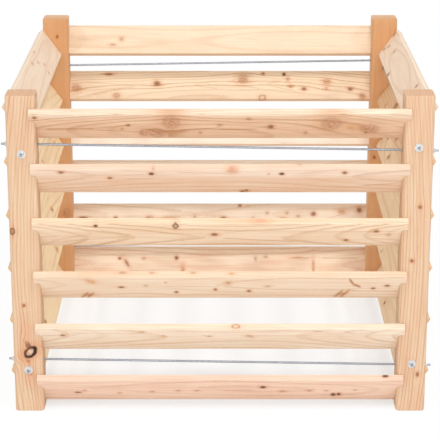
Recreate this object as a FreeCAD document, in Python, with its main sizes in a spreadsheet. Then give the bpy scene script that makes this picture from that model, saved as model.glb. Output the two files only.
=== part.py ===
import FreeCAD, Part
import math
import os
import Sketcher

# A square open bin: louvred boards housed in four corner posts, pulled together by threaded rods.
# The ground is z = 0, the origin is the middle of the bin's base, and its front faces -Y.
# Sizes are in millimetres and degrees.

SIZES = {
    # Across the outer faces of the posts
    "overall_width": 1000,
    "overall_depth": 1000,
    # Posts, square with rounded upright edges
    "post_height": 790,
    "post_side": 70,
    "post_edge_radius": 8,
    "post_end_arris": 1.5,
    # Boards, each leaning outwards at the top
    "slat_thickness": 18,
    "slat_breadth": 88,
    "slat_tilt": 36,
    "slat_arris": 2,
    "slat_overhang": 14,
    "slat_rows": 6,
    "top_margin": 40,
    "bottom_margin": 85,
    # Slots in the posts that hold the ends of the boards
    "housing_clearance": 0.3,
    "corner_wood": 2.5,
    # Rods, each running from a high hole at one end of its side to a low one at the other
    "rod_diameter": 6,
    "rod_hole_play": 2,
    "rod_reach": 16,
    "rod_end_bevel": 0.8,
    "rod_stagger": 15,
    "upper_rod_drop": 91.5,
    "lower_rod_drop": 102.5,
    # Washers and hexagon nuts
    "washer_diameter": 20,
    "washer_bore_play": 0.4,
    "washer_thickness": 1.6,
    "nut_flats": 10,
    "nut_height": 5,
    "nut_bore_play": 0.1,
    "nut_face_diameter": 9.4,
    "nut_bevel": 30,
    "nut_seat_gap": 0.15,
}

# Going round the bin by quarter turns. A piece is built in its side's own frame, in which the side
# is the front one, and the post at the left end of that side belongs to it.
SIDES = ["front", "right", "rear", "left"]
POSTS = ["post_front_left", "post_front_right", "post_rear_right", "post_rear_left"]

# Sizes that follow from the ones above, as expressions on the sheet
TILT_SINE = "sin(Sizes.slat_tilt * 1 deg)"
TILT_COSINE = "cos(Sizes.slat_tilt * 1 deg)"
ROW_SPAN = "(Sizes.post_height - Sizes.top_margin - Sizes.bottom_margin)"
ROW_PITCH = f"({ROW_SPAN} / (Sizes.slat_rows - 1))"
INWARD_REACH = (f"(Sizes.slat_thickness * {TILT_COSINE} + Sizes.slat_breadth * {TILT_SINE}"
                " - Sizes.slat_overhang)")
HOUSING_DEPTH = f"(Sizes.post_side - {INWARD_REACH} - Sizes.corner_wood)"
ROD_HEIGHTS = {
    "upper": "(Sizes.post_height - Sizes.top_margin - Sizes.upper_rod_drop)",
    "lower": f"(Sizes.bottom_margin + {ROW_PITCH} - Sizes.lower_rod_drop)",
}

doc = FreeCAD.newDocument("CompostBin")
sheet = doc.addObject("Spreadsheet::Sheet", "Sizes")
for row, (alias, value) in enumerate(SIZES.items(), start=1):
    sheet.set(f"A{row}", alias)
    sheet.set(f"B{row}", str(value))
    sheet.setAlias(f"B{row}", alias)
doc.recompute()


def new_body(label):
    body = doc.addObject("PartDesign::Body", label)
    body.Label = label
    return body


def datum(body, role):
    return next(item for item in body.Origin.OriginFeatures if item.Role == role)


def new_sketch(body, plane, name, offset=None):
    sketch = body.newObject("Sketcher::SketchObject", f"{body.Name}_{name}")
    sketch.AttachmentSupport = [(datum(body, plane), "")]
    sketch.MapMode = "FlatFace"
    if offset:
        sketch.setExpression("AttachmentOffset.Base.z", offset)
    return sketch


def drive(sketch, name, constraint, expression):
    # A named dimension of the sketch, tied to the sheet
    index = sketch.addConstraint(constraint)
    sketch.renameConstraint(index, name)
    sketch.setExpression(f"Constraints.{name}", expression)


def closed_loop(sketch, corners):
    points = [FreeCAD.Vector(x, y, 0) for x, y in corners]
    lines = [sketch.addGeometry(Part.LineSegment(start, end))
             for start, end in zip(points, points[1:] + points[:1])]
    for line, following in zip(lines, lines[1:] + lines[:1]):
        sketch.addConstraint(Sketcher.Constraint("Coincident", line, 2, following, 1))
    return lines


def circle(sketch, name, diameter):
    # Drawn anywhere: its constraints give its size and place
    index = sketch.addGeometry(Part.Circle(FreeCAD.Vector(1, 1, 0), FreeCAD.Vector(0, 0, 1), 5))
    drive(sketch, f"{name}_diameter", Sketcher.Constraint("Diameter", index, 2), diameter)
    return index


def centre_on_origin(sketch, index):
    sketch.addConstraint(Sketcher.Constraint("Coincident", index, 3, -1, 1))


def centre_at(sketch, name, index, across, up):
    drive(sketch, f"{name}_across", Sketcher.Constraint("DistanceX", -1, 1, index, 3, 1), across)
    drive(sketch, f"{name}_up", Sketcher.Constraint("DistanceY", -1, 1, index, 3, 1), up)


def centre_below_origin(sketch, name, index, drop):
    sketch.addConstraint(Sketcher.Constraint("PointOnObject", index, 3, -2))
    drive(sketch, f"{name}_drop", Sketcher.Constraint("DistanceY", index, 3, -1, 1, 1), drop)


def add(body, kind, name, sign, settings, **expressions):
    # Adds a feature, recomputes, and stops if it has not added (sign 1) or removed (-1) material
    feature = body.newObject(f"PartDesign::{kind}", f"{body.Name}_{name}")
    for prop, value in settings.items():
        setattr(feature, prop, value)
    for prop, expression in expressions.items():
        feature.setExpression(prop, expression)
    body.Tip = feature
    doc.recompute()
    before = feature.BaseFeature.Shape.Volume if feature.BaseFeature else 0
    if sign * (feature.Shape.Volume - before) <= 0:
        raise RuntimeError(f"{feature.Name} has changed nothing")
    return feature


def edges_where(feature, test):
    return [f"Edge{number}" for number, edge in enumerate(feature.Shape.Edges, start=1) if test(edge)]


def runs_along(axis):
    def test(edge):
        direction = edge.tangentAt(edge.FirstParameter)
        return edge.Curve.TypeId == "Part::GeomLine" and abs(getattr(direction, axis)) > 0.999
    return test


def is_circle(edge):
    return edge.Curve.TypeId == "Part::GeomCircle"


def is_at_post_end(edge):
    height = edge.BoundBox.ZMin
    flat = edge.BoundBox.ZLength < 0.01
    return flat and (abs(height) < 0.01 or abs(height - SIZES["post_height"]) < 0.01)


def square_outline(sketch):
    side = SIZES["post_side"]
    bottom, right, top, left = closed_loop(sketch, [(0, 0), (side, 0), (side, side), (0, side)])
    for line in (bottom, top):
        sketch.addConstraint(Sketcher.Constraint("Horizontal", line))
    for line in (right, left):
        sketch.addConstraint(Sketcher.Constraint("Vertical", line))
    sketch.addConstraint(Sketcher.Constraint("Coincident", bottom, 1, -1, 1))
    sketch.addConstraint(Sketcher.Constraint("Equal", bottom, right))
    drive(sketch, "side", Sketcher.Constraint("Distance", bottom, side), "Sizes.post_side")


def louvre_section(sketch, clearance):
    # The lowest board's section, or with a clearance the slot for it. The sketch's upright axis is
    # the posts' outer face, and its +X runs into the bin. The apex is the board's outer top corner,
    # which overhangs that face.
    tilt = math.radians(SIZES["slat_tilt"])
    thickness, breadth = SIZES["slat_thickness"], SIZES["slat_breadth"]
    step_in = FreeCAD.Vector(math.cos(tilt), math.sin(tilt), 0) * thickness
    step_down = FreeCAD.Vector(math.sin(tilt), -math.cos(tilt), 0) * breadth
    apex = FreeCAD.Vector(-SIZES["slat_overhang"], SIZES["bottom_margin"], 0)
    corners = [apex, apex + step_in, apex + step_in + step_down, apex + step_down]
    top, inner, bottom, outer = closed_loop(sketch, [(corner.x, corner.y) for corner in corners])
    sketch.addConstraint(Sketcher.Constraint("Parallel", top, bottom))
    sketch.addConstraint(Sketcher.Constraint("Parallel", inner, outer))
    sketch.addConstraint(Sketcher.Constraint("Perpendicular", top, inner))
    drive(sketch, "tilt", Sketcher.Constraint("Angle", top, tilt), "Sizes.slat_tilt * 1 deg")
    drive(sketch, "thickness", Sketcher.Constraint("Distance", top, thickness),
          f"Sizes.slat_thickness + 2 * {clearance}")
    drive(sketch, "breadth", Sketcher.Constraint("Distance", inner, breadth),
          f"Sizes.slat_breadth + 2 * {clearance}")
    drive(sketch, "overhang", Sketcher.Constraint("DistanceX", top, 1, -1, 1, -apex.x),
          f"Sizes.slat_overhang + {clearance} * ({TILT_COSINE} + {TILT_SINE})")
    drive(sketch, "apex_height", Sketcher.Constraint("DistanceY", -1, 1, top, 1, apex.y),
          f"Sizes.bottom_margin + {clearance} * ({TILT_COSINE} - {TILT_SINE})")


def cut_housings(body, name, plane, face, backwards):
    # A row of slots for board ends in one inner face of the post
    section = new_sketch(body, plane, f"{name}_section", face)
    louvre_section(section, "Sizes.housing_clearance")
    lowest = add(body, "Pocket", f"{name}_lowest", -1,
                 {"Profile": section, "Reversed": backwards}, Length=HOUSING_DEPTH)
    add(body, "LinearPattern", f"{name}_rows", -1,
        {"Originals": [lowest], "Direction": (datum(body, "Z_Axis"), [""])},
        Length=ROW_SPAN, Occurrences="Sizes.slat_rows")


def drill_rod_holes(body, name, plane, shift, backwards):
    # An upper and a lower hole through the middle of the post, off their mean height by a shift
    centres = new_sketch(body, plane, f"{name}_centres")
    for level, height in ROD_HEIGHTS.items():
        hole = circle(centres, level, "Sizes.rod_diameter + Sizes.rod_hole_play")
        centre_at(centres, level, hole, "Sizes.post_side / 2", height + shift)
    add(body, "Pocket", name, -1, {"Profile": centres, "Type": "ThroughAll", "Reversed": backwards})


def make_post(label):
    # The post fills +X +Y from its outer corner. Front boards enter the face at +X, and the boards
    # of the side next to it enter the face at +Y.
    body = new_body(label)
    outline = new_sketch(body, "XY_Plane", "outline")
    square_outline(outline)
    blank = add(body, "Pad", "blank", 1, {"Profile": outline}, Length="Sizes.post_height")
    rounded = add(body, "Fillet", "edges", -1, {"Base": (blank, edges_where(blank, runs_along("z")))},
                  Radius="Sizes.post_edge_radius")
    add(body, "Chamfer", "ends", -1, {"Base": (rounded, edges_where(rounded, is_at_post_end))},
        Size="Sizes.post_end_arris")
    cut_housings(body, "housings_x", "YZ_Plane", "Sizes.post_side", False)
    cut_housings(body, "housings_y", "XZ_Plane", "-Sizes.post_side", True)
    drill_rod_holes(body, "holes_x", "YZ_Plane", " + Sizes.rod_stagger / 2", True)
    drill_rod_holes(body, "holes_y", "XZ_Plane", " - Sizes.rod_stagger / 2", False)
    return body


def make_slat(label, side_length):
    # Both ends stand against the bottoms of their slots
    body = new_body(label)
    section = new_sketch(body, "YZ_Plane", "section")
    louvre_section(section, "0")
    board = add(body, "Pad", "board", 1, {"Profile": section, "SideType": "Symmetric"},
                Length=f"{side_length} - 2 * (Sizes.post_side - {HOUSING_DEPTH})")
    add(body, "Fillet", "arrises", -1, {"Base": (board, edges_where(board, runs_along("x")))},
        Radius="Sizes.slat_arris")
    return body


def make_rod(label, side_length, slope):
    body = new_body(label)
    section = new_sketch(body, "YZ_Plane", "section")
    centre_on_origin(section, circle(section, "rod", "Sizes.rod_diameter"))
    shank = add(body, "Pad", "shank", 1, {"Profile": section, "SideType": "Symmetric"},
                Length=f"({side_length} + 2 * Sizes.rod_reach) / cos({slope})")
    add(body, "Chamfer", "tips", -1, {"Base": (shank, edges_where(shank, is_circle))},
        Size="Sizes.rod_end_bevel")
    return body


def repeat_at_other_end(body, features):
    # The low end's piece again at the high end: half a turn about the axis across the rod
    add(body, "PolarPattern", "pair", 1,
        {"Originals": features, "Axis": (datum(body, "Y_Axis"), [""]), "Angle": 360, "Occurrences": 2})


def make_washers(label, side_length, slope):
    # Flat against the posts, and centred on the sloping rod where it comes out of them
    body = new_body(label)
    section = new_sketch(body, "YZ_Plane", "section", f"{side_length} / 2")
    drop = f"({side_length} + Sizes.washer_thickness) / 2 * tan({slope})"
    rings = {"rim": "Sizes.washer_diameter", "bore": "Sizes.rod_diameter + Sizes.washer_bore_play"}
    for name, diameter in rings.items():
        centre_below_origin(section, name, circle(section, name, diameter), drop)
    disc = add(body, "Pad", "disc", 1, {"Profile": section}, Length="Sizes.washer_thickness")
    repeat_at_other_end(body, [disc])
    return body


def hexagon(sketch):
    # Regular, with its corners on a construction circle and two of its flats upright
    ring = circle(sketch, "corners", "Sizes.nut_flats / cos(30 deg)")
    sketch.toggleConstruction(ring)
    centre_on_origin(sketch, ring)
    radius = SIZES["nut_flats"] / 2 / math.cos(math.pi / 6)
    turns = [math.radians(60 * corner) for corner in range(6)]
    lines = closed_loop(sketch, [(radius * math.sin(turn), radius * math.cos(turn)) for turn in turns])
    for line in lines:
        sketch.addConstraint(Sketcher.Constraint("PointOnObject", line, 1, ring))
    for line in lines[1:]:
        sketch.addConstraint(Sketcher.Constraint("Equal", lines[0], line))
    sketch.addConstraint(Sketcher.Constraint("Vertical", lines[1]))


def bevel_triangle(sketch, outer_face):
    # What the bevel takes off the corners, seen beside the rod's axis
    end, rim, beyond = SIZES["overall_width"] / 2, SIZES["nut_face_diameter"] / 2, SIZES["nut_flats"]
    depth = (beyond - rim) * math.tan(math.radians(SIZES["nut_bevel"]))
    face, outside, bevel = closed_loop(sketch, [(end, rim), (end, beyond), (end - depth, beyond)])
    sketch.addConstraint(Sketcher.Constraint("Vertical", face))
    sketch.addConstraint(Sketcher.Constraint("Horizontal", outside))
    drive(sketch, "face", Sketcher.Constraint("DistanceX", -1, 1, face, 1, end), outer_face)
    drive(sketch, "rim", Sketcher.Constraint("DistanceY", -1, 1, face, 1, rim),
          "Sizes.nut_face_diameter / 2")
    drive(sketch, "beyond", Sketcher.Constraint("DistanceY", -1, 1, face, 2, beyond),
          "Sizes.nut_flats")
    drive(sketch, "depth", Sketcher.Constraint("DistanceX", bevel, 1, face, 2, 3),
          "(Sizes.nut_flats - Sizes.nut_face_diameter / 2) * tan(Sizes.nut_bevel * 1 deg)")


def make_nuts(label, side_length, slope):
    # Square to the rod, so this body slopes with it, and all but touching the washers
    body = new_body(label)
    seat = f"({side_length} / 2 + Sizes.washer_thickness) / cos({slope}) + Sizes.nut_seat_gap"
    section = new_sketch(body, "YZ_Plane", "section", seat)
    hexagon(section)
    bore = circle(section, "bore", "Sizes.rod_diameter + Sizes.nut_bore_play")
    centre_on_origin(section, bore)
    block = add(body, "Pad", "block", 1, {"Profile": section}, Length="Sizes.nut_height")
    corner = new_sketch(body, "XY_Plane", "corner")
    bevel_triangle(corner, f"{seat} + Sizes.nut_height")
    bevel = add(body, "Groove", "bevel", -1,
                {"Profile": corner, "ReferenceAxis": (datum(body, "X_Axis"), [""]), "Angle": 360})
    repeat_at_other_end(body, [block, bevel])
    return body


def place(body, turn, across, inward, height, slope="0"):
    # Places a piece in its side's frame, and turns that frame round the bin
    body.setExpression("Placement", (
        f"placement(vector(0; 0; 0); rotation(vector(0; 0; 1); {turn}))"
        f" * placement(vector({across}; {inward}; {height}); rotation(vector(0; 1; 0); {slope}))"))


pieces = []
for quarter, side in enumerate(SIDES):
    turn = 90 * quarter
    spans = ["Sizes.overall_width", "Sizes.overall_depth"]
    length, breadth = spans if quarter % 2 == 0 else reversed(spans)
    outer_face = f"-{breadth} / 2"
    rod_line = f"-{breadth} / 2 + Sizes.post_side / 2"
    slope = f"atan(Sizes.rod_stagger / ({length} - Sizes.post_side))"

    post = make_post(POSTS[quarter])
    place(post, turn, f"-{length} / 2", outer_face, "0")
    pieces.append(post)

    for row in range(SIZES["slat_rows"]):
        slat = make_slat(f"slat_{side}_{row + 1}", length)
        place(slat, turn, "0", outer_face, f"{ROW_PITCH} * (Sizes.slat_rows - {row + 1})")
        pieces.append(slat)

    for level, height in ROD_HEIGHTS.items():
        rod = make_rod(f"rod_{side}_{level}", length, slope)
        place(rod, turn, "0", rod_line, height, slope)
        washers = make_washers(f"washers_{side}_{level}", length, slope)
        place(washers, turn, "0", rod_line, height)
        nuts = make_nuts(f"nuts_{side}_{level}", length, slope)
        place(nuts, turn, "0", rod_line, height, slope)
        pieces += [rod, washers, nuts]

doc.recompute()
for item in doc.Objects:
    if "Invalid" in item.State or "Error" in item.State:
        raise RuntimeError(f"{item.Label}: {item.State}")
for piece in pieces:
    if piece.Shape.isNull() or not piece.Shape.isValid():
        raise RuntimeError(f"{piece.Label} has a bad shape")

os.makedirs("parts", exist_ok=True)
for piece in pieces:
    piece.Shape.exportStep(f"parts/{piece.Label}.step")
    box = piece.Shape.BoundBox
    print(f"{piece.Label}: {len(piece.Shape.Solids)} solid(s), {piece.Shape.Volume / 1000:.1f} cm3,"
          f" x {box.XMin:.1f} to {box.XMax:.1f}, y {box.YMin:.1f} to {box.YMax:.1f},"
          f" z {box.ZMin:.1f} to {box.ZMax:.1f}")
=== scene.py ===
import math
import random
import bpy
from mathutils import Matrix, Vector


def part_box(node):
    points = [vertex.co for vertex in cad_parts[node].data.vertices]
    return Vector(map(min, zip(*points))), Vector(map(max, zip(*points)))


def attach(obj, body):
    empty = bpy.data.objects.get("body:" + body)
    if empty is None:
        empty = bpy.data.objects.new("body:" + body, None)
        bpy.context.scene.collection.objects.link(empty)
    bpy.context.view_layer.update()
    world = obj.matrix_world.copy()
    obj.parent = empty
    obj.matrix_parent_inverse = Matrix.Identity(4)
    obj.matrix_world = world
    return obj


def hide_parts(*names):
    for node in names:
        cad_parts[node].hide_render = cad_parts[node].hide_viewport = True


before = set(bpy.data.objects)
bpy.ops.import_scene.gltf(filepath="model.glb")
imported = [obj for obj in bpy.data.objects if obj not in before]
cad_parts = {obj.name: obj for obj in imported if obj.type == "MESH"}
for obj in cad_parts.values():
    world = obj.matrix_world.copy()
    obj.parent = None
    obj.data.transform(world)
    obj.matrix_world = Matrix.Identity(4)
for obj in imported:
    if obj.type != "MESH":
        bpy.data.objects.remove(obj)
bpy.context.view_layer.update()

# A square timber compost bin: louvred softwood boards in four posts, pulled together by threaded rods

mm = 0.001
imageSize = 440     # the photograph's frame, in pixels


def say(finished):
    print("stage:", finished)


def tint(red, green, blue):
    # A colour as a screen shows it, 0 to 255, as the linear colour that a shader takes
    return tuple(c / 255 / 12.92 if c <= 10 else ((c / 255 + 0.055) / 1.055) ** 2.4
                 for c in (red, green, blue)) + (1.0,)


# Shader maths

class Wire:
    # A node's output: sums written with it add Math nodes
    def __init__(self, paint, socket):
        self.paint, self.socket = paint, socket

    def maths(self, operation, *values):
        return self.paint.node("Math", {"operation": operation}, dict(enumerate(values)))

    def __add__(self, other):
        return self.maths("ADD", self, other)

    def __radd__(self, other):
        return self.maths("ADD", other, self)

    def __sub__(self, other):
        return self.maths("SUBTRACT", self, other)

    def __rsub__(self, other):
        return self.maths("SUBTRACT", other, self)

    def __mul__(self, other):
        return self.maths("MULTIPLY", self, other)

    def __rmul__(self, other):
        return self.maths("MULTIPLY", other, self)

    def __truediv__(self, other):
        return self.maths("DIVIDE", self, other)

    def __rtruediv__(self, other):
        return self.maths("DIVIDE", other, self)

    def __pow__(self, other):
        return self.maths("POWER", self, other)

    def __abs__(self):
        return self.maths("ABSOLUTE", self)

    def least(self, other):
        return self.maths("MINIMUM", self, other)

    def most(self, other):
        return self.maths("MAXIMUM", self, other)

    def rise(self, low, high):
        # 0 at low and 1 at high, with soft ends
        return self.paint.node("MapRange", {"interpolation_type": "SMOOTHSTEP"},
                               {"Value": self, "From Min": low, "From Max": high})


# A Mix node has sockets for every kind of data, and these are the ones for colours
mixSockets = {"factor": 0, "first": 6, "second": 7, "result": 2}


class Paint:
    # The nodes of a material or of the world
    def __init__(self, owner):
        owner.use_nodes = True
        self.owner, self.tree = owner, owner.node_tree
        self.tree.nodes.clear()

    def node(self, kind, settings=None, inputs=None, output=0):
        made = self.tree.nodes.new("ShaderNode" + kind)
        for key, value in (settings or {}).items():
            setattr(made, key, value)
        for key, value in (inputs or {}).items():
            if isinstance(value, Wire):
                self.tree.links.new(value.socket, made.inputs[key])
            else:
                made.inputs[key].default_value = value
        return Wire(self, made.outputs[output])

    def mix(self, factor, first, second):
        return self.node("Mix", {"data_type": "RGBA"}, {
            mixSockets["factor"]: factor, mixSockets["first"]: first, mixSockets["second"]: second},
            mixSockets["result"])

    def split(self, vector):
        return [self.node("SeparateXYZ", None, {"Vector": vector}, axis) for axis in "XYZ"]

    def squared(self, vector):
        return self.node("VectorMath", {"operation": "DOT_PRODUCT"}, {0: vector, 1: vector}, "Value")

    def seen(self):
        # 1 where the camera looks, also by way of a reflection, and 0 where light is gathered
        camera, glossy, through = [self.node("LightPath", output=f"Is {ray} Ray")
                                   for ray in ("Camera", "Glossy", "Transmission")]
        return camera.most(glossy).most(through)

    def noise(self, vector, scale, detail=2.0, offset=(0, 0, 0)):
        # The vector is in mm, and scale is the size of the pattern along each axis
        spread = self.node("VectorMath", {"operation": "MULTIPLY_ADD"},
                           {0: vector, 1: [1 / s for s in scale], 2: offset})
        return self.node("TexNoise", None, {"Vector": spread, "Scale": 1.0, "Detail": detail})

    def localSpot(self, place, turn):
        # Millimetres along a piece's own axes
        return self.node("Mapping", {"vector_type": "TEXTURE"}, {
            "Vector": self.node("TexCoord", output="Object"), "Location": place, "Rotation": turn,
            "Scale": (mm, mm, mm)})

    def end(self, kind, shader):
        made = self.tree.nodes.new("ShaderNodeOutput" + kind)
        self.tree.links.new(shader.socket, made.inputs["Surface"])
        return self.owner

    def coat(self, colour, roughness, height, bumpDepth, metallic, specular):
        bump = self.node("Bump", None, {"Strength": 1.0, "Distance": bumpDepth, "Height": height})
        return self.end("Material", self.node("BsdfPrincipled", None, {
            "Base Color": colour, "Roughness": roughness, "Normal": bump,
            "Metallic": metallic, "Specular IOR Level": specular}))


# Wood

# Heartwood, sapwood, the dark line of each year's late growth, and the warm wood round a knot
woodTones = {
    "tan": [tint(233, 198, 167), tint(250, 232, 208), tint(186, 134, 94), tint(206, 146, 104)],
    "peach": [tint(234, 205, 178), tint(242, 222, 202), tint(200, 148, 110), tint(216, 154, 114)],
    "rose": [tint(239, 209, 186), tint(243, 219, 200), tint(202, 152, 122), tint(216, 152, 120)],
    "straw": [tint(241, 218, 191), tint(246, 225, 198), tint(202, 156, 112), tint(218, 160, 116)],
    "cream": [tint(239, 219, 196), tint(250, 234, 214), tint(210, 166, 126), tint(222, 170, 130)],
    "milk": [tint(241, 225, 204), tint(243, 227, 207), tint(208, 166, 124), tint(224, 176, 134)],
    "honey": [tint(241, 206, 165), tint(255, 238, 202), tint(216, 168, 118), tint(226, 168, 114)],
    "buff": [tint(238, 205, 166), tint(252, 232, 200), tint(210, 162, 118), tint(218, 158, 112)],
    "pale": [tint(242, 216, 190), tint(255, 243, 227), tint(222, 184, 146), tint(228, 180, 140)],
    "amber": [tint(219, 169, 122), tint(230, 199, 166), tint(206, 144, 94), tint(212, 142, 92)],
    "fawn": [tint(225, 195, 164), tint(233, 210, 186), tint(196, 142, 102), tint(214, 150, 108)],
    "apricot": [tint(240, 202, 170), tint(254, 234, 210), tint(214, 158, 116), tint(228, 164, 122)],
}
knotTones = {"brown": tint(160, 104, 64), "dark": tint(96, 60, 38), "gold": tint(218, 162, 116),
             "clay": tint(200, 148, 112), "ash": tint(234, 208, 184), "pink": tint(226, 164, 134),
             "bark": tint(90, 58, 40), "ink": tint(62, 40, 30)}

# How strongly each kind of knot shows its middle, bark, halo and rings, and how far it bends the grain
knotKinds = {
    "pin": {"tone": "brown", "heart": 0.70, "core": 0.55, "bark": 0.25, "halo": 0.45, "rings": 0.0,
            "bend": 1.0},
    "faint": {"tone": "brown", "heart": 0.34, "core": 0.12, "bark": 0.0, "halo": 0.30, "rings": 0.0,
              "bend": 0.7},
    "dead": {"tone": "dark", "heart": 0.80, "core": 0.60, "bark": 0.60, "halo": 0.40, "rings": 0.0,
             "bend": 0.9},
    "swirl": {"tone": "clay", "heart": 0.50, "core": 0.0, "bark": 0.14, "halo": 0.34, "rings": 0.55,
              "bend": 0.6},
    "eye": {"tone": "brown", "heart": 0.55, "core": 0.0, "bark": 0.70, "halo": 0.30, "rings": 0.20,
            "bend": 0.9},
    "loop": {"tone": "gold", "heart": 0.15, "core": 0.0, "bark": 0.55, "halo": 0.25, "rings": 0.10,
             "bend": 0.9, "rimTone": "brown"},
    "wound": {"tone": "ash", "heart": 0.60, "core": 0.0, "bark": 1.0, "halo": 0.70, "rings": 0.45,
              "bend": 1.1, "rim": (0.42, 0.64), "rimTone": "ink"},
    "stain": {"tone": "ink", "heart": 0.82, "core": 0.0, "bark": 0.0, "halo": 0.0, "rings": 0.0,
              "bend": 0.6},
    "smear": {"tone": "gold", "heart": 0.70, "core": 0.0, "bark": 0.0, "halo": 0.25, "rings": 0.25,
              "bend": 0.5},
    "spike": {"tone": "brown", "heart": 0.50, "core": 0.15, "bark": 0.10, "halo": 0.35, "rings": 0.4,
              "bend": 0.8},
    "blush": {"tone": "pink", "heart": 0.50, "core": 0.0, "bark": 0.0, "halo": 0.25, "rings": 0.0,
              "bend": 0.3},
    "arc": {"tone": "pink", "heart": 0.60, "core": 0.0, "bark": 0.10, "halo": 0.40, "rings": 0.30,
            "bend": 0.9},
}
knotShape = {"deep": 32.0, "shallow": 11.0, "nearEdge": 33.0, "topHeight": 5.0, "ragged": 0.55,
             "bendStretch": (0.45, 1, 0.6), "bendFade": 0.25}

# How each part of a knot shows, by the distance from its middle in its own sizes
knotParts = {"middle": (1.12, 0.55), "rim": (0.52, 0.82), "rimEnd": (1.2, 0.94), "core": (0.75, 0.1),
             "warm": (2.6, 0.9), "darkRings": (3.0, 0.9), "arcsEnd": (1.4, 0.7),
             "curl": 6.0, "curlRagged": 12.0, "proud": 0.5, "crack": 0.3}

# The flames' soft sides, and how far past its two ends and how far before them each one fades
flameShape = {"soft": 1.9, "past": 4, "before": 12, "beforeShare": 0.6, "wander": 9.0}

# The patterns in the wood: the size of each in mm along, across and through a piece, and its detail
patterns = {"wander": ((380, 90, 90), 2.0), "drift": ((700, 150, 150), 1.0),
            "blotch": ((150, 30, 30), 3.0), "streaky": ((260, 3.2, 3.2), 3.0),
            "fibre": ((60, 0.9, 0.9), 2.0), "fleck": ((8, 1.4, 1.4), 2.0),
            "ragged": ((9, 6, 6), 2.0)}
patternShift = 50    # the most that a piece's patterns are moved, in sizes
halfway = 0.5        # the mean of a pattern

# Where a year's late wood lies, which years are strong, and where it is faint: in patches, at the top
# edge, and where the cut follows a ring
years = {"late": (0.55, 0.92), "end": (1.0, 0.95), "ragged": 0.22, "change": 0.83,
         "strong": (0.25, 0.6), "patches": (0.3, 0.65), "patchLeast": 0.5,
         "edge": (44.2, 42.2), "steep": (0.0, 0.45), "least": 0.4, "gain": 0.6}

# Where each colour starts and is full, and the shares of those that every piece has alike. The shade is
# painted shade, darker towards a face's lower edge, partly the wood's own browner tone there
colouring = {"sapSoft": 9, "sapRagged": 30.0, "blotch": (0.35, 0.75), "shade": (0, -44),
             "streaky": (0.36, 0.7), "ridge": (43.0, 44.0), "nearKnots": 0.9,
             "fibre": (0.35, 0.75), "fibreShare": 0.14, "fleck": (0.62, 0.8), "fleckShare": 0.14,
             "cutEnds": (0.5, 0.8), "cutEndShare": 0.3}
surface = {"rough": 0.58, "fibreRough": 0.16, "lateSmooth": 0.10, "lateHeight": 0.35,
           "fibreHeight": 0.6, "depth": 0.5 * mm, "specular": 0.25}


def knotFields(paint, spot, ragged, look):
    # For each kind of knot, how far off the nearest one is in its own sizes; and the push on the grain
    nearest, push = {}, 0.0
    placed = []
    for kind, knotAlong, knotAcross, halfLength, halfHeight, *lean in look["knots"]:
        edge = abs(knotAcross) > knotShape["nearEdge"]
        placed.append((kind, (knotAlong, knotAcross, look["seenDepth"]), math.radians(sum(lean)),
                       (halfLength, halfHeight, knotShape["shallow" if edge else "deep"])))
    for kind, knotAlong, knotDepth, halfLength, halfDepth in look.get("topKnots", []):
        placed.append((kind, (knotAlong, boards["breadth"] / 2, knotDepth), 0,
                       (halfLength, knotShape["topHeight"], halfDepth)))
    for kind, place, lean, size in placed:
        local = paint.node("Mapping", {"vector_type": "TEXTURE"}, {
            "Vector": spot, "Location": place, "Rotation": (0, 0, lean), "Scale": size})
        square = paint.squared(local)
        nearest[kind] = nearest[kind].least(square) if kind in nearest else square
        long = paint.node("VectorMath", {"operation": "MULTIPLY"},
                          {0: local, 1: knotShape["bendStretch"]})
        near = (paint.squared(long) * knotShape["bendFade"] + 1.0) ** -2.0
        push = paint.split(local)[1] * near * (knotKinds[kind]["bend"] * size[1]) + push
    reaches = {kind: square ** 0.5 + (ragged - halfway) * knotShape["ragged"]
               for kind, square in nearest.items()}
    return reaches, push


def streakField(paint, along, across, streaks):
    # Single dark flames of late wood: each a line from one place to another, thin at its ends
    field = 0.0
    for start, startAcross, stop, stopAcross, half, strength in streaks:
        line = paint.node("MapRange", None, {"Value": along, "From Min": start, "From Max": stop,
                                             "To Min": startAcross, "To Max": stopAcross})
        span = abs(stop - start) / 2
        before = min(flameShape["before"], span * flameShape["beforeShare"])
        inside = abs(along - (start + stop) / 2).rise(span + flameShape["past"], span - before)
        mark = abs(across - line).rise(half * flameShape["soft"], 0.0) * inside * strength
        field = mark.most(field)
    return field


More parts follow.
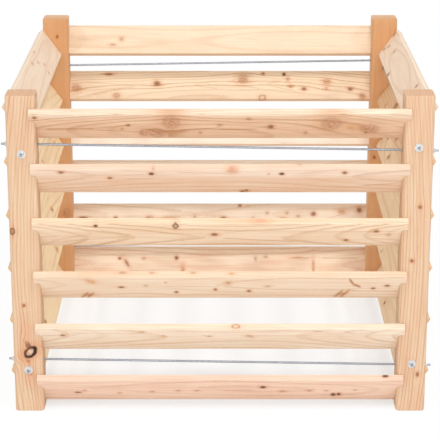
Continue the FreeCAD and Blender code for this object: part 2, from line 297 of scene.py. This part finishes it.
def woodPaint(name, place, turn, upright, look):
    # Grown wood in millimetres: rings round a pith beside the piece, bent by the knots
    heart, sap, late, warm = woodTones[look["tone"]]
    seed = random.Random(name)
    paint = Paint(bpy.data.materials.new(name))
    x, y, z = paint.split(paint.localSpot(place, turn))
    along, across, depth = (z, x, y) if upright else (x, z, y)
    spot = paint.node("CombineXYZ", None, {0: along, 1: across, 2: depth})

    wander, drift, blotch, streaky, fibre, fleck, ragged = [
        paint.noise(spot, size, detail, [seed.uniform(-patternShift, patternShift) for _ in range(3)])
        for size, detail in patterns.values()]
    reaches, push = knotFields(paint, spot, ragged, look)

    bent = across + (wander - halfway) * look["wander"] - push
    bowed = along * along
    sideways = bent - bowed * look["sideBow"] - look["pith"][0]
    inwards = depth + (drift - halfway) * look["drift"] + bowed * look["bow"] - look["pith"][1]
    radius = (sideways * sideways + inwards * inwards) ** 0.5
    rings = radius / look["ring"] + (ragged - halfway) * years["ragged"]
    year = rings.maths("FRACT", rings)
    strength = paint.node("TexNoise", {"noise_dimensions": "1D"},
                          {"W": rings * years["change"], "Scale": 1.0, "Detail": 1.0})
    patchy = drift.rise(*years["patches"]) * years["gain"] + years["patchLeast"]
    edge = across.rise(*years["edge"]) * years["gain"] + years["least"]
    steep = abs(sideways / radius).rise(*years["steep"]) * years["gain"] + years["least"]
    lateWood = (year.rise(*years["late"]) * year.rise(*years["end"])
                * strength.rise(*years["strong"]) * patchy * edge * steep)

    sapEdge = (bent * look["sapAcross"] + depth * look["sapDepth"]
               + (blotch - halfway) * colouring["sapRagged"])
    sapSoft = colouring["sapSoft"]
    colour = paint.mix(sapEdge.rise(look["sapwood"] - sapSoft, look["sapwood"] + sapSoft), heart, sap)
    colour = paint.mix(blotch.rise(*colouring["blotch"]) * look["blotch"], colour, warm)
    # Painted shade: each face darker towards its lower edge, partly the wood's own browner tone there
    colour = paint.mix(across.rise(*colouring["shade"]) * look["shade"], colour, late)
    colour = paint.mix(streaky.rise(*colouring["streaky"]) * look["streaky"], colour, late)
    colour = paint.mix(across.rise(*colouring["ridge"]) * look["ridge"], colour, warm)
    nearKnot = 0.0
    for reach in reaches.values():
        nearKnot = reach.rise(*knotParts["darkRings"]).most(nearKnot)
    darker = nearKnot * colouring["nearKnots"] + 1.0
    colour = paint.mix((lateWood * darker * look["contrast"]).least(1.0), colour, late)
    if look["streaks"]:
        flames = streakField(paint, along, across + (wander - halfway) * flameShape["wander"],
                             look["streaks"])
        colour = paint.mix(flames, colour, look["flame"])
    colour = paint.mix(fibre.rise(*colouring["fibre"]) * colouring["fibreShare"], colour, late)
    colour = paint.mix(fleck.rise(*colouring["fleck"]) * colouring["fleckShare"], colour, late)
    height = lateWood * surface["lateHeight"] + fibre * surface["fibreHeight"]

    for kind, reach in reaches.items():
        made = knotKinds[kind]
        middle = reach.rise(*knotParts["middle"])
        rim = reach.rise(*made.get("rim", knotParts["rim"])) * reach.rise(*knotParts["rimEnd"])
        colour = paint.mix(reach.rise(*knotParts["warm"]) * made["halo"], colour, warm)
        colour = paint.mix(middle * made["heart"], colour, knotTones[made["tone"]])
        if made["rings"]:
            curl = reach * knotParts["curl"] + ragged * knotParts["curlRagged"]
            arcs = curl.maths("SINE", curl).rise(0.0, 1.0) * reach.rise(*knotParts["arcsEnd"])
            colour = paint.mix(arcs * made["rings"], colour, knotTones["brown"])
        if made["core"]:
            core = reach.rise(*knotParts["core"])
            colour = paint.mix(core * made["core"], colour, knotTones["bark"])
        if made["bark"]:
            colour = paint.mix(rim * made["bark"], colour, knotTones[made.get("rimTone", "bark")])
        height = height + middle * knotParts["proud"] - rim * (knotParts["crack"] + made["bark"])

    # Cut ends are darker, and drink in more dirt
    facing = paint.split(paint.node("TexCoord", output="Normal"))[2 if upright else 0]
    cutEnd = (facing * facing).rise(*colouring["cutEnds"])
    colour = paint.mix(cutEnd * colouring["cutEndShare"], colour, late)
    roughness = fibre * surface["fibreRough"] - lateWood * surface["lateSmooth"] + surface["rough"]
    return paint.coat(colour, roughness, height, surface["depth"], 0.0, surface["specular"])


# Boards

boards = {"tilt": 36, "breadth": 88, "rows": 6, "sides": ["front", "right", "rear", "left"]}

# Millimetres from the board's middle. A knot is its kind, its place along and across the board, half
# its length and height, and the lean that some have. A knot on the top edge has its depth in place of
# the second. The pith is the middle of the log: its place across, and through the board. Sapwood starts
# that far up, and the ridge is how warm the top edge looks. A streak, a single flame, runs from one
# place to another, with half its thickness and its strength.
# The shade is how strongly painted shade darkens a face towards its lower edge.
boardLooks = {
    "slat_front_1": {
        "tone": "tan", "sapwood": 31, "pith": (-30, 70), "ring": 5.6, "contrast": 0.75, "bow": -8e-5,
        "shade": 0.06,
        "knots": [("pin", -431, 31, 5, 4.7), ("pin", -214, 4, 4, 3.6), ("faint", -229, -9, 4, 5),
                  ("swirl", -147, -23, 21, 16), ("swirl", -177, -22, 12, 12.6),
                  ("swirl", -114, 15, 20, 24), ("faint", -46, -23, 4, 5), ("faint", -1, 4, 5, 4.3),
                  ("faint", 67, 28, 4, 4), ("pin", 119, -1, 7, 6.8), ("faint", 201, -23, 4, 4.7),
                  ("swirl", 259, 11, 23, 21.6), ("smear", 307, -4, 12, 9), ("swirl", 350, -9, 22, 15),
                  ("pin", 342, -22, 4, 4)],
        "streaks": [(-412, -10, -289, -9, 2.6, 0.6), (-294, -8, -210, 3, 1.3, 0.5),
                    (-294, -13, -176, -22, 1.3, 0.5), (-93, -16, 2, -4, 1.3, 0.35),
                    (-5, -11, 90, -11, 2.2, 0.5), (90, -5, 113, -2, 1.2, 0.4),
                    (132, -7, 226, 7, 1.2, 0.2), (377, -25, 422, -20, 1.3, 0.4)]},
    "slat_front_2": {
        "tone": "peach", "sapwood": 22, "pith": (20, 90), "ring": 6.4, "contrast": 0.6, "bow": 6e-5,
        "shade": 0.08,
        "knots": [("pin", -373, 33, 7, 4.7), ("pin", -259, 12, 6, 4.3), ("dead", -161, 28, 6, 5),
                  ("faint", -156, 47, 3, 5.4), ("arc", 29, 40, 11, 9.4), ("faint", 114, 28, 3, 3.2),
                  ("dead", 145, 28, 6, 5), ("pin", 292, 32, 6, 5.4), ("pin", 53, -39, 5, 4.3),
                  ("pin", 63, -36, 5, 4.3)],
        "topKnots": [("faint", 186, 8, 5, 3.2)],
        "streaks": [(-226, 23, -174, 27, 1.2, 0.35), (-227, 9, -151, 7, 1.2, 0.3),
                    (334, -16, 416, -10, 1.5, 0.55), (-104, 34, 14, 32, 1.2, 0.3),
                    (273, 16, 413, 36, 1, 0.2)]},
    "slat_front_3": {
        "tone": "straw", "sapwood": 20, "pith": (-5, 80), "ring": 6.5, "contrast": 0.8, "shade": 0.04,
        "bow": 1.6e-4, "wander": 8,
        "knots": [("dead", -294, 36, 5, 4.7), ("eye", -105, 35, 7, 9.4), ("pin", -13, 2, 9, 6.5),
                  ("pin", 301, -21, 5, 4), ("pin", 371, 14, 7, 5.4), ("faint", 401, 0, 5, 3.6)],
        "topKnots": [("blush", 96, 0, 16, 7)],
        "streaks": [(-389, -19, -302, 6, 1.3, 0.4), (-338, 31, -302, 9, 1.2, 0.35),
                    (-436, -13, -378, 0, 1.2, 0.3), (-378, -27, -213, -4, 1.3, 0.4),
                    (-292, 24, -213, 0, 1.2, 0.35), (-326, 35, -298, 36, 1.3, 0.4),
                    (-151, 10, -24, 2, 1.2, 0.3), (0, 6, 89, 22, 1.3, 0.35),
                    (5, -13, 180, -27, 1.5, 0.5), (2, 14, 178, 28, 1.2, 0.3),
                    (89, 10, 414, 13, 1.2, 0.25), (340, -8, 415, 6, 1.2, 0.35),
                    (341, -13, 417, -19, 1.2, 0.35)]},
    "slat_front_4": {
        "tone": "cream", "sapwood": 70, "pith": (15, 75), "ring": 5.8, "contrast": 0.7, "bow": 4e-5,
        "ridge": 0.12,
        "knots": [("smear", -309, 26, 16, 8.6, -30), ("pin", -237, 2, 8, 4.3),
                  ("faint", -178, 8, 5, 3.6), ("pin", -105, -19, 5, 5), ("faint", -130, 21, 3, 3.6),
                  ("pin", -11, -8, 5, 5), ("faint", 20, 20, 6, 6.8), ("pin", 70, -14, 6, 4.7),
                  ("faint", 114, 6, 7, 4), ("faint", -318, -31, 13, 6, 20),
                  ("faint", 294, -27, 14, 6, 28), ("pin", 368, -3, 6, 4.3), ("pin", 401, 8, 7, 5)],
        "topKnots": [("faint", -233, 4, 12, 4.2), ("faint", -64, 4, 8, 3.8), ("smear", 28, 1, 9, 3.4),
                     ("faint", -162, 4, 8, 3.2)],
        "streaks": [(96, 7, 137, 8, 1.1, 0.3), (-139, 5, 2, 7, 1.1, 0.35), (250, -8, 415, 0, 1, 0.2),
                    (-336, -43, -318, -21, 5.5, 0.95), (-321, -42, -304, -22, 5.0, 0.95),
                    (276, -38, 296, -12, 6.0, 0.95), (290, -40, 312, -9, 6.0, 0.95),
                    (309, 35, 320, 14, 7.0, 0.95), (318, 15, 338, 3, 4.5, 0.95)]},
    "slat_front_5": {
        "tone": "milk", "sapwood": 20, "pith": (22, 95), "ring": 6.2, "contrast": 0.75, "bow": 1.2e-4,
        "ridge": 0.0, "shade": 0.0, "wander": 9,
        "knots": [("pin", -380, 18, 6, 4), ("faint", 72, 14, 12, 6, -15),
                  ("faint", -186, 33, 7, 3.2), ("faint", -137, 16, 5, 3.2), ("faint", -26, 14, 7, 3.2)],
        "topKnots": [("loop", 38, 0, 10, 6.5)],
        "streaks": [(-434, 14, -386, 16, 1.3, 0.5), (-373, 12, -339, 22, 1.2, 0.35),
                    (-385, 33, -315, 28, 1.2, 0.3), (-386, 20, -315, 26, 1.2, 0.3),
                    (-225, 38, -183, 34, 1.3, 0.4), (-226, 22, -184, 28, 1.2, 0.35),
                    (-108, 36, -80, 36, 1.2, 0.35), (-45, 18, -21, 12, 1.4, 0.4),
                    (220, 37, 248, 35, 1.6, 0.55), (249, 30, 284, 20, 1.1, 0.3),
                    (298, 32, 330, 39, 1.2, 0.5), (298, 30, 331, 22, 1.2, 0.5),
                    (330, 39, 380, 31, 1.1, 0.35), (331, 22, 380, 29, 1.1, 0.35),
                    (89, 32, 220, 35, 1.2, 0.3), (89, 18, 226, 18, 1.1, 0.25)]},
    "slat_front_6": {
        "tone": "rose", "sapwood": 40, "pith": (5, 70), "ring": 6.0, "contrast": 0.6, "bow": -5e-5,
        "shade": 0.08,
        "knots": [("pin", -348, -10, 9, 4), ("faint", -331, -2, 6, 3.6), ("faint", -246, -13, 5, 4.3),
                  ("faint", -166, -6, 5, 4.3), ("faint", -102, -2, 7, 4.3), ("faint", -57, -2, 7, 4.3),
                  ("dead", 105, 14, 7, 5.4), ("faint", 153, -5, 8, 4), ("faint", 219, -2, 7, 3.6),
                  ("dead", 278, -20, 6, 6.5), ("dead", 291, -18, 5, 6.1), ("faint", 330, 1, 5, 3.6),
                  ("faint", 260, -2, 6, 3.6)],
        "topKnots": [("dead", 402, 4, 7, 3.8)],
        "streaks": [(-435, 3, -328, 1, 1.2, 0.35), (-436, -15, -360, -11, 1.2, 0.35),
                    (33, 38, 178, 42, 1.5, 0.3), (4, -2, 89, 0, 2, 0.3), (227, -17, 270, -20, 1.3, 0.3),
                    (303, -20, 358, -22, 1.3, 0.3)]},
    "slat_rear_1": {
        "tone": "straw", "pith": (0, -90), "contrast": 0.55, "shade": 0.1,
        "knots": [("faint", 305, -17, 9, 4), ("faint", 281, 0, 6, 6.6)],
        "streaks": [(411, 0, 355, -3, 1.4, 0.2), (-52, 3, -120, -5, 1.3, 0.15)]},
    "slat_rear_2": {
        "tone": "straw", "sapwood": 22, "pith": (-40, -60), "ring": 5.2, "contrast": 0.8, "bow": 8e-5,
        "wander": 22,
        "knots": [("dead", 439, 25, 5, 4), ("pin", 320, 33, 12, 3.3), ("swirl", 413, -9, 13, 10.6),
                  ("swirl", 297, -34, 10, 9), ("pin", 181, 4, 10, 7.9), ("swirl", -66, 18, 15, 14),
                  ("loop", -121, -40, 10, 9), ("pin", -124, 35, 5, 3.6), ("dead", -184, 33, 5, 5),
                  ("faint", -195, 18, 5, 7.3), ("pin", -241, -13, 8, 5.3), ("faint", -203, -5, 6, 5),
                  ("swirl", -307, 10, 11, 9), ("faint", -305, -11, 6, 5), ("pin", -374, -13, 8, 5.6),
                  ("swirl", -408, -36, 9, 10)],
        "streaks": [(393, 10, 241, -3, 1.3, 0.3), (391, -19, 241, -6, 1.3, 0.3),
                    (78, 0, 4, 13, 1.3, 0.3), (78, -1, 4, -13, 1.3, 0.3),
                    (-132, 4, -176, 10, 1.5, 0.45), (-132, 1, -236, -26, 1.3, 0.35),
                    (-27, 4, -46, 20, 1.3, 0.3), (-40, 0, -120, -13, 1.3, 0.3)]},
    "slat_rear_5": {
        "tone": "cream", "sapwood": 14, "pith": (10, -80), "contrast": 0.7,
        "knots": [("pin", 402, 0, 14, 3.6), ("pin", 307, -3, 7, 6.3), ("swirl", 207, -3, 13, 8.6),
                  ("smear", 158, -5, 21, 6.6), ("pin", -10, -2, 7, 4.6), ("spike", -94, -7, 9, 4, -60),
                  ("pin", -59, 37, 5, 4), ("faint", -139, 14, 5, 5.3), ("faint", -197, 14, 5, 4.6),
                  ("faint", -230, 4, 6, 4), ("pin", -275, 11, 8, 6.9), ("dead", -343, -13, 9, 5.3),
                  ("pin", -410, 23, 8, 8.6), ("smear", -358, 17, 14, 7.3), ("faint", -185, -2, 9, 3.3),
                  ("faint", 75, 3, 5, 4)],
        "streaks": [(294, 4, 226, 4, 1.2, 0.25), (293, -11, 226, -2, 1.2, 0.25),
                    (-299, -5, -377, 14, 1.3, 0.3), (-330, -3, -410, -2, 1.2, 0.3)]},
    "slat_rear_6": {
        "tone": "apricot", "sapwood": 14, "pith": (-10, -80), "contrast": 0.6, "blotch": 0.4,
        "knots": [("pin", 297, 6, 5, 4.3), ("faint", 226, 6, 5, 4), ("pin", 129, 8, 6, 6.3),
                  ("spike", 276, -8, 14, 5, 60), ("smear", 110, -29, 6, 18), ("faint", -136, 11, 6, 4.3),
                  ("smear", -228, 9, 18, 3.3), ("smear", -276, -20, 4.3, 24), ("faint", -105, 5, 4, 6)],
        "streaks": [(-200, 7, -268, 8, 1.5, 0.4), (-299, 6, -410, 7, 1.5, 0.4)]},
    "slat_right_1": {
        "tone": "cream", "pith": (0, -70),
        "knots": [("pin", 419, 30, 9, 6), ("pin", 379, -2, 7, 5), ("pin", 410, -19, 8, 5),
                  ("faint", 276, 7, 10, 6), ("pin", 153, -38, 12, 6), ("pin", -202, 24, 8, 5)]},
    "slat_right_2": {
        "tone": "buff", "sapwood": 60, "pith": (-60, -50), "contrast": 0.8,
        "knots": [("eye", 190, 6, 18, 10), ("pin", -53, -26, 12, 6), ("faint", 300, -20, 9, 6)]},
    "slat_right_3": {
        "tone": "buff", "pith": (10, -70),
        "knots": [("pin", 219, -15, 11, 6), ("pin", 365, 6, 9, 5), ("pin", 246, 34, 9, 5),
                  ("pin", 423, -13, 7, 5)]},
    "slat_left_1": {
        "tone": "cream", "pith": (0, -80), "contrast": 0.5,
        "knots": [("faint", -152, 38, 9, 4), ("faint", -41, 28, 9, 4), ("faint", -108, 14, 9, 4),
                  ("faint", -155, -5, 9, 4), ("faint", -136, -28, 9, 4)]},
    "slat_left_4": {
        "tone": "honey", "pith": (10, -80),
        "knots": [("pin", -119, 38, 10, 5), ("pin", -167, -19, 11, 5), ("faint", -73, -17, 9, 4)]},
    "slat_left_6": {
        "tone": "honey", "pith": (-10, -90),
        "knots": [("faint", 59, -4, 10, 4), ("pin", 28, -6, 11, 5), ("faint", 260, 12, 10, 5)]},
}
# The paler tones inside the bin are partly the boards' own colour and partly painted light, making up for
# the shade inside the bin
sideTones = {"front": ["peach", "rose"], "rear": ["pale"], "left": ["honey"], "right": ["buff"]}


def boardLook(name, side):
    # What the list leaves out is grown at random, the same way each time
    chance = random.Random("look of " + name)
    outer = side == "front"
    # Inside the bin the seen face is sapwood, with weaker blotches, streaks and lower-edge shade than
    # outside: partly the boards' own tone, partly painted light against the shade inside the bin
    look = {"tone": chance.choice(sideTones[side]),
            "sapwood": chance.uniform(14, 40) if outer else 8.0,
            "sapAcross": 1.0 if outer else 0.25, "sapDepth": 0.0 if outer else 3.5,
            "pith": (chance.uniform(-35, 35), chance.uniform(-90, -60)),
            "ring": chance.uniform(5.0, 6.8), "contrast": chance.uniform(0.5, 0.7),
            "wander": 14, "drift": 30, "blotch": 0.25 if outer else 0.14,
            "streaky": 0.30 if outer else 0.16, "shade": 0.12 if outer else 0.04,
            "bow": chance.uniform(-4e-5, 6e-5), "sideBow": 0.0, "ridge": 0.06, "streaks": [],
            "flame": tint(176, 116, 70), "seenDepth": -9 if outer else 9, "knots": []}
    for _ in range(chance.randint(4, 7)):
        size = chance.uniform(3.5, 8)
        kind = chance.choice(["pin", "faint", "faint", "pin", "swirl", "dead"])
        look["knots"].append((kind, chance.uniform(-420, 420), chance.uniform(-34, 38), size * 1.35, size))
    look.update(boardLooks.get(name, {}))
    return look


def middleOf(node):
    low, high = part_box(node)
    return (low + high) / 2


def dress(node, material):
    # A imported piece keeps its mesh, and takes a new material in its slot
    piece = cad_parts[node]
    if not piece.material_slots:
        piece.data.materials.append(material)
    for holder in piece.material_slots:
        holder.material = material


for quarter, side in enumerate(boards["sides"]):
    for row in range(boards["rows"]):
        node = f"slat_{side}_{row + 1}"
        turn = (math.radians(boards["tilt"]), 0, math.radians(90 * quarter))
        dress(node, woodPaint(node, middleOf(node), turn, False, boardLook(node, side)))
say("boards")


# Posts, which the same lists describe: along is up, and across is towards the right
postLook = {"sapwood": 60, "sapAcross": 1.0, "sapDepth": 0.0, "wander": 10, "drift": 24, "blotch": 0.25,
            "streaky": 0.3, "shade": 0.0, "bow": 0.0, "sideBow": 0.0, "ridge": 0.0, "streaks": [],
            "seenDepth": -35}
posts = {
    "post_front_left": {
        "tone": "fawn", "pith": (-90, 10), "ring": 7.0, "contrast": 0.8, "sideBow": 1.9e-4, "wander": 26,
        "knots": [("eye", 66, -27, 8, 6.3), ("pin", -121, -6, 5, 4.4), ("wound", -241, 6, 18, 12, 46),
                  ("stain", -222, 0, 13, 7, -24), ("pin", -264, 0, 4, 4), ("blush", -194, -2, 30, 8),
                  ("blush", -301, 4, 19, 9.4), ("faint", -298, 6, 5, 4)]},
    "post_front_right": {
        "tone": "fawn", "pith": (-110, 10), "ring": 7.2, "contrast": 0.8, "sideBow": -1.4e-4,
        "knots": [("pin", 126, 7, 5, 4.7), ("pin", -8, -8, 5, 4.7), ("pin", -299, 15, 6, 4.4)]},
    # The rear posts are darker amber heartwood on the face towards the bin: partly the wood's own tone,
    # partly painted shade and bounced light from inside the bin
    "post_rear_left": {
        "tone": "amber", "sapwood": -12, "sapAcross": 0.0, "sapDepth": 1.0,
        "pith": (30, 60), "ring": 4.0, "contrast": 0.36,
        "knots": [("pin", 346, 5, 5, 4), ("swirl", -176, 19, 15, 12.4), ("pin", 44, -6, 5, 9)]},
    "post_rear_right": {
        "tone": "amber", "sapwood": -12, "sapAcross": 0.0, "sapDepth": 1.0,
        "pith": (-20, 70), "ring": 4.4, "contrast": 0.36,
        "knots": [("pin", -7, -20, 6, 4.6), ("faint", 150, 10, 8, 7)]},
}
for node, look in posts.items():
    dress(node, woodPaint(node, middleOf(node), (0, 0, 0), True, {**postLook, **look}))
say("posts")


# Steel

steelTones = {"zinc": tint(224, 225, 224), "shade": tint(176, 179, 182), "rod": tint(182, 189, 200),
              "rodShade": tint(142, 150, 163)}
steelLook = {"bloom": (4, 4, 4), "bloomDetail": 3.0, "bloomRange": (0.35, 0.75), "bloomShare": 0.7,
             "bloomRough": 0.25, "scratches": (0.6, 0.6, 5), "depth": 0.05 * mm, "specular": 0.5}


def steelPaint(name, base, shade, roughness, metallic):
    # Bright zinc plate with the faint bloom it gets in the air
    paint = Paint(bpy.data.materials.new(name))
    spot = paint.localSpot((0, 0, 0), (0, 0, 0))
    bloom = paint.noise(spot, steelLook["bloom"], steelLook["bloomDetail"])
    scratches = paint.noise(spot, steelLook["scratches"])
    colour = paint.mix(bloom.rise(*steelLook["bloomRange"]) * steelLook["bloomShare"],
                       steelTones[base], steelTones[shade])
    return paint.coat(colour, bloom * steelLook["bloomRough"] + roughness, scratches,
                      steelLook["depth"], metallic, steelLook["specular"])


# Two tones, the roughness, and how metallic it looks
finishes = {"washer": ("zinc", "shade", 0.34, 0.6), "nut": ("zinc", "shade", 0.28, 0.75),
            "rod": ("rod", "rodShade", 0.34, 0.7)}
steel = {piece: steelPaint("zinc" + piece.title(), *finish) for piece, finish in finishes.items()}
levels = ["upper", "lower"]
for name in [f"{side}_{level}" for side in boards["sides"] for level in levels]:
    dress("washers_" + name, steel["washer"])
    dress("nuts_" + name, steel["nut"])


# Threaded rods

rod = {"crest": 3.0 * mm, "root": 2.4 * mm, "pitch": 1.0 * mm, "stepsPerTurn": 9,
       "short": 0.1 * mm, "bevel": 0.8 * mm, "bevelSteps": 2, "bevelScale": 0.88,
       "merge": 0.01 * mm, "weld": 0.02 * mm}


def modelThread(length):
    # One rod along X: the edge of a thread screwed round the axis, cut square and then tapered
    bpy.ops.object.select_all(action="DESELECT")
    bpy.ops.mesh.primitive_circle_add(vertices=3, radius=rod["crest"])
    thread = bpy.context.object
    mesh = thread.data
    turns = math.ceil(length / rod["pitch"]) + 2
    low = -(turns / 2) * rod["pitch"]
    half = rod["pitch"] / 2
    corners = [(rod["root"], low), (rod["crest"], low + half), (rod["root"], low + 2 * half)]
    for corner, (radius, height) in zip(mesh.vertices, corners):
        corner.co = (radius, 0, height)
    bpy.ops.object.mode_set(mode="EDIT")
    bpy.ops.mesh.select_all(action="DESELECT")
    bpy.ops.object.mode_set(mode="OBJECT")
    for edge in mesh.edges:
        edge.select = {0, 2} == set(edge.vertices)
    bpy.ops.object.mode_set(mode="EDIT")
    bpy.ops.mesh.select_mode(type="EDGE")
    bpy.ops.mesh.delete(type="EDGE")
    bpy.ops.object.mode_set(mode="OBJECT")
    screw = thread.modifiers.new("screw", "SCREW")
    screw.axis = "Z"
    screw.screw_offset = rod["pitch"]
    screw.iterations = turns
    screw.steps = screw.render_steps = rod["stepsPerTurn"]
    screw.use_merge_vertices = True
    screw.merge_threshold = rod["merge"]
    bpy.ops.object.modifier_apply(modifier="screw")
    bpy.ops.object.mode_set(mode="EDIT")
    bpy.ops.mesh.select_mode(type="VERT")
    bpy.ops.mesh.select_all(action="SELECT")
    bpy.ops.mesh.remove_doubles(threshold=rod["weld"])
    for end in (-1, 1):
        bpy.ops.mesh.select_all(action="SELECT")
        bpy.ops.mesh.bisect(plane_co=(0, 0, end * length / 2), plane_no=(0, 0, end),
                            use_fill=True, clear_outer=True)
    bpy.ops.mesh.select_all(action="SELECT")
    bpy.ops.mesh.normals_make_consistent(inside=False)
    for step in range(rod["bevelSteps"]):
        beyond = length / 2 - rod["bevel"] * (1 - step / rod["bevelSteps"])
        bpy.ops.mesh.select_all(action="DESELECT")
        bpy.ops.object.mode_set(mode="OBJECT")
        for corner in mesh.vertices:
            corner.select = abs(corner.co.z) > beyond
        bpy.ops.object.mode_set(mode="EDIT")
        bpy.ops.transform.resize(value=(rod["bevelScale"], rod["bevelScale"], 1),
                                 center_override=(0, 0, 0))
    bpy.ops.object.mode_set(mode="OBJECT")
    mesh.transform(Matrix.Rotation(math.pi / 2, 4, "Y"))
    return thread


bpy.ops.object.select_all(action="DESELECT")
rodLow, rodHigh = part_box("rod_front_upper")
rodLength = (rodHigh - rodLow).x
thread = modelThread(rodLength - rod["short"])
for quarter, side in enumerate(boards["sides"]):
    for level in levels:
        node = f"rod_{side}_{level}"
        low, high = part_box(node)
        slope = math.atan2(high.z - low.z - 2 * rod["crest"], rodLength)
        piece = bpy.data.objects.new(f"thread_{side}_{level}", thread.data.copy())
        bpy.context.scene.collection.objects.link(piece)
        piece.data.transform(Matrix.Translation((low + high) / 2)
                             @ Matrix.Rotation(math.radians(90 * quarter), 4, "Z")
                             @ Matrix.Rotation(slope, 4, "Y"))
        piece.data.materials.append(steel["rod"])
        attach(piece, "root")
        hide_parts(node)
bpy.data.objects.remove(thread)
say("threaded rods")


# Stage

# The share of plain white under the bin, just outside it and far off, and where each takes over. This
# white is a painted glow that the camera sees, stronger just outside the bin, where it pales the bin's
# shadow
stage = {"size": 14.0, "colour": tint(250, 253, 255), "white": [0.45, 0.93, 1.0],
         "outside": [0.43, 0.50], "far": [0.8, 1.8]}


def floorPaint():
    # Lit as a pale floor, and seen as white with the bin's shadow in it
    paint = Paint(bpy.data.materials.new("paleFloor"))
    x, y, _ = paint.split(paint.node("TexCoord", output="Object"))
    away = abs(x).most(abs(y))
    under, near, far = stage["white"]
    # Painted glow, more of it outside the bin than under it
    white = (away.rise(*stage["outside"]) * (near - under) + away.rise(*stage["far"]) * (far - near)
             + under)
    lit = paint.node("BsdfDiffuse", None, {"Color": stage["colour"]})
    bright = paint.node("Emission", None, {"Strength": 1.0})
    return paint.end("Material", paint.node("MixShader", None,
                                            {0: paint.seen() * white, 1: lit, 2: bright}))


bpy.ops.object.select_all(action="DESELECT")
bpy.ops.mesh.primitive_plane_add(size=stage["size"])
floor = bpy.context.object
floor.name = "floor"
floor.data.materials.append(floorPaint())


# Light: each lamp's share of what makes a white card white

air = {"ambient": 0.69, "seen": 1.0}
lights = {
    "softTop": {"toward": (0.0, -0.3, 1.0), "away": 5.0, "size": (3.0, 3.0), "share": 0.04},
    "keyTop": {"toward": (0.21, -0.38, 1.0), "away": 5.0, "size": (0.4, 0.4), "share": 0.17},
    "highRight": {"toward": (1.06, -0.5, 1.0), "away": 6.0, "size": (0.4, 0.4), "share": 0.12},
    "highLeft": {"toward": (-0.95, -0.5, 1.0), "away": 6.0, "size": (0.4, 0.4), "share": 0.12},
    "eyeLevel": {"toward": (0.0, -0.95, 0.33), "away": 5.0, "size": (2.0, 1.2), "share": 0.23},
}
aimAt = Vector((0, 0, 0.4))
whiteCard = math.pi ** 2    # watts that make a card white from 1 m away
for name, made in lights.items():
    lamp = bpy.data.lights.new(name, "AREA")
    lamp.shape = "RECTANGLE"
    lamp.size, lamp.size_y = made["size"]
    lamp.energy = made["share"] * whiteCard * made["away"] ** 2
    holder = bpy.data.objects.new(name, lamp)
    direction = Vector(made["toward"]).normalized()
    holder.location = aimAt + direction * made["away"]
    holder.rotation_euler = direction.to_track_quat("Z", "Y").to_euler()
    holder.visible_camera = False
    bpy.context.scene.collection.objects.link(holder)

studio = Paint(bpy.data.worlds.new("studio"))
bpy.context.scene.world = studio.end("World", studio.node("Background", None, {
    "Color": (1, 1, 1, 1),
    "Strength": studio.seen() * (air["seen"] - air["ambient"]) + air["ambient"]}))
say("light")


# Camera

view = {"away": 4.5, "height": 1.739, "pitch": 17.35, "focalPixels": 1771.5, "sensor": 36}
lens = bpy.data.cameras.new("camera")
lens.sensor_width = view["sensor"]
lens.lens = view["focalPixels"] / imageSize * lens.sensor_width
camera = bpy.data.objects.new("camera", lens)
camera.location = (0, -view["away"], view["height"])
camera.rotation_euler = (math.radians(90 - view["pitch"]), 0, 0)
bpy.context.scene.collection.objects.link(camera)
bpy.context.scene.camera = camera
bpy.context.scene.view_settings.view_transform = "Standard"
say("camera")
